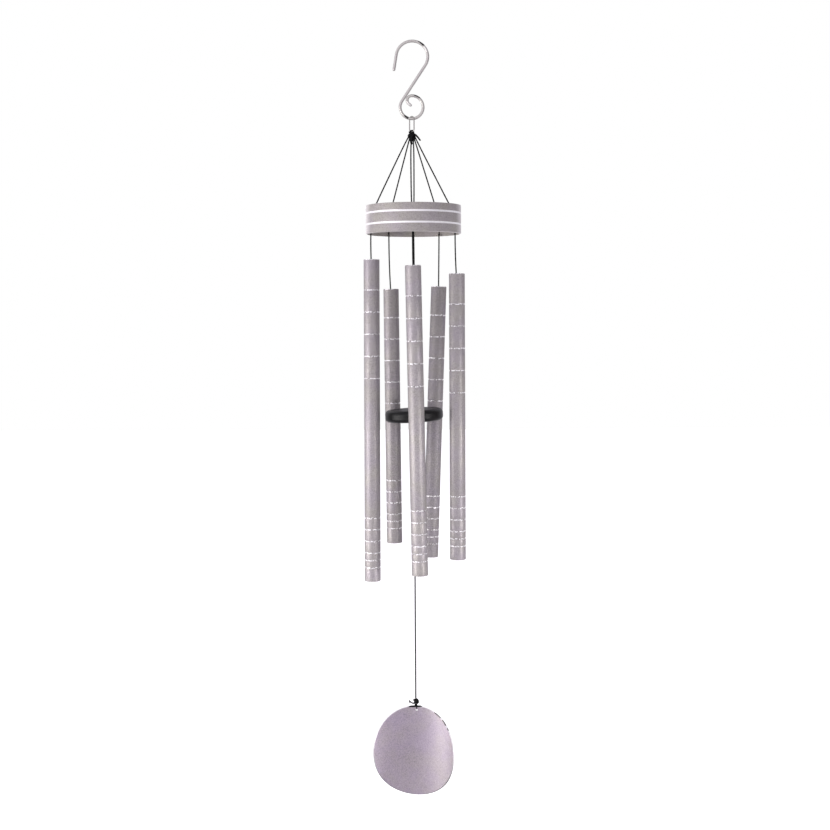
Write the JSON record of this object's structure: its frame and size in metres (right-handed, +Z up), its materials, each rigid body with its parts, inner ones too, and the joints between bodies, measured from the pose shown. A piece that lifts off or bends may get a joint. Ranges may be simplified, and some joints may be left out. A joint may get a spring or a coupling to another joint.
{
  "type": "wind chime",
  "caption": "Hanging tubular wind chime: round drum canopy on cords from an S-hook, tubes of different lengths with turned rings, a black striker disc and a curved round wind sail.",
  "frame": {"origin": "seat point inside the S-hook's upper bend, where the chime hangs", "axes": "+Z up, +X to the right and +Y to the rear seen from the front, where one tube stands in the middle; the chime hangs down along -Z"},
  "size_m": [0.1244, 0.1234, 0.9388],
  "materials": {
    "hook_metal": "bright polished round wire",
    "link_metal": "bright thin wire",
    "pin_metal": "plain drawn pin",
    "canopy_paint": "satin speckled grey-taupe coating with bright cut lines",
    "tube_paint": "satin speckled grey-taupe coating with bright cut rings",
    "sail_paint": "satin speckled grey-lilac coating with a bright cut edge",
    "striker_black": "smooth satin black with rounded rim",
    "black_cord": "braided black polyester cord"
  },
  "bodies": {
    "hook": {"s_hook": "hook_metal"},
    "link": {"link_ring": "link_metal"},
    "knot": {"top_knot": "black_cord"},
    "canopy": {"canopy_ring": "canopy_paint", "canopy_web": "canopy_paint", "centre_cord": "black_cord", "suspension_cord_1": "black_cord", "suspension_cord_2": "black_cord", "suspension_cord_3": "black_cord", "suspension_cord_4": "black_cord", "suspension_cord_5": "black_cord"},
    "tube_1_line": {"tube_cord_1": "black_cord"},
    "tube_1_body": {"tube_1": "tube_paint", "tube_pin_1": "pin_metal"},
    "tube_2_line": {"tube_cord_2": "black_cord"},
    "tube_2_body": {"tube_2": "tube_paint", "tube_pin_2": "pin_metal"},
    "tube_3_line": {"tube_cord_3": "black_cord"},
    "tube_3_body": {"tube_3": "tube_paint", "tube_pin_3": "pin_metal"},
    "tube_4_line": {"tube_cord_4": "black_cord"},
    "tube_4_body": {"tube_4": "tube_paint", "tube_pin_4": "pin_metal"},
    "tube_5_line": {"tube_cord_5": "black_cord"},
    "tube_5_body": {"tube_5": "tube_paint", "tube_pin_5": "pin_metal"},
    "striker_line": {"striker_cord": "black_cord"},
    "striker_disc": {"striker": "striker_black"},
    "sail_line": {"sail_cord": "black_cord"},
    "wind_sail": {"sail": "sail_paint", "sail_knot": "black_cord"}
  },
  "joints": [
    {"name": "link_swing", "type": "hinge", "parent": "hook", "child": "link", "pos_m": [0, 0, -0.0948], "axis": [1, 0, 0], "range_deg": [-25, 25]},
    {"name": "knot_swing", "type": "hinge", "parent": "link", "child": "knot", "pos_m": [0, 0, -0.1116], "axis": [0.5736, -0.8192, 0], "range_deg": [-25, 25]},
    {"name": "canopy_twist", "type": "hinge", "parent": "knot", "child": "canopy", "pos_m": [0, 0, -0.1228], "axis": [0, 0, 1], "range_deg": [-20, 20], "stiffness_Nm_per_rad": 0.05},
    {"name": "tube_1_swing", "type": "hinge", "parent": "canopy", "child": "tube_1_line", "pos_m": [-0.0521, -0.01566, -0.2259], "axis": [0.2879, -0.9577, 0], "range_deg": [-7, 1.9]},
    {"name": "tube_1_rock", "type": "hinge", "parent": "tube_1_line", "child": "tube_1_body", "pos_m": [-0.0518, -0.01566, -0.2847], "axis": [-0.9577, -0.2879, 0], "range_deg": [-5, 5]},
    {"name": "tube_2_swing", "type": "hinge", "parent": "canopy", "child": "tube_2_line", "pos_m": [-0.03099, 0.04471, -0.2259], "axis": [0.8218, 0.5697, 0], "range_deg": [-1.3, 7]},
    {"name": "tube_2_rock", "type": "hinge", "parent": "tube_2_line", "child": "tube_2_body", "pos_m": [-0.02844, 0.04471, -0.3202], "axis": [-0.5697, 0.8218, -0.006], "range_deg": [-5, 5]},
    {"name": "tube_3_swing", "type": "hinge", "parent": "canopy", "child": "tube_3_line", "pos_m": [-0.00121, -0.05439, -0.2259], "axis": [0.9998, -0.0222, 0], "range_deg": [-7, 1.9]},
    {"name": "tube_3_rock", "type": "hinge", "parent": "tube_3_line", "child": "tube_3_body", "pos_m": [-0.00071, -0.05439, -0.2932], "axis": [-0.0222, -0.9998, -0.0004], "range_deg": [-5, 5]},
    {"name": "tube_4_swing", "type": "hinge", "parent": "canopy", "child": "tube_4_line", "pos_m": [0.03294, 0.04329, -0.2259], "axis": [0.7958, -0.6056, 0], "range_deg": [-0.9, 7]},
    {"name": "tube_4_rock", "type": "hinge", "parent": "tube_4_line", "child": "tube_4_body", "pos_m": [0.03184, 0.04329, -0.3168], "axis": [0.6052, 0.7958, -0.0211], "range_deg": [-5, 5]},
    {"name": "tube_5_swing", "type": "hinge", "parent": "canopy", "child": "tube_5_line", "pos_m": [0.05135, -0.01795, -0.2259], "axis": [0.33, 0.944, 0], "range_deg": [-6.5, 1.9]},
    {"name": "tube_5_rock", "type": "hinge", "parent": "tube_5_line", "child": "tube_5_body", "pos_m": [0.0532, -0.01795, -0.3024], "axis": [0.944, -0.33, 0], "range_deg": [-5, 5]},
    {"name": "striker_swing", "type": "hinge", "parent": "canopy", "child": "striker_line", "pos_m": [0, 0, -0.2259], "axis": [1, 0, 0], "range_deg": [-1.9, 1.3]},
    {"name": "striker_tilt", "type": "hinge", "parent": "striker_line", "child": "striker_disc", "pos_m": [0, 0, -0.4633], "axis": [0, 1, 0], "range_deg": [-5, 5]},
    {"name": "sail_swing", "type": "hinge", "parent": "striker_line", "child": "sail_line", "pos_m": [0, 0, -0.47785], "axis": [0, 1, 0], "range_deg": [-10, 10]},
    {"name": "sail_spin", "type": "hinge", "parent": "sail_line", "child": "wind_sail", "pos_m": [0.0018, 0, -0.8158], "axis": [0, 0, 1], "range_deg": [-180, 180]}
  ]
}
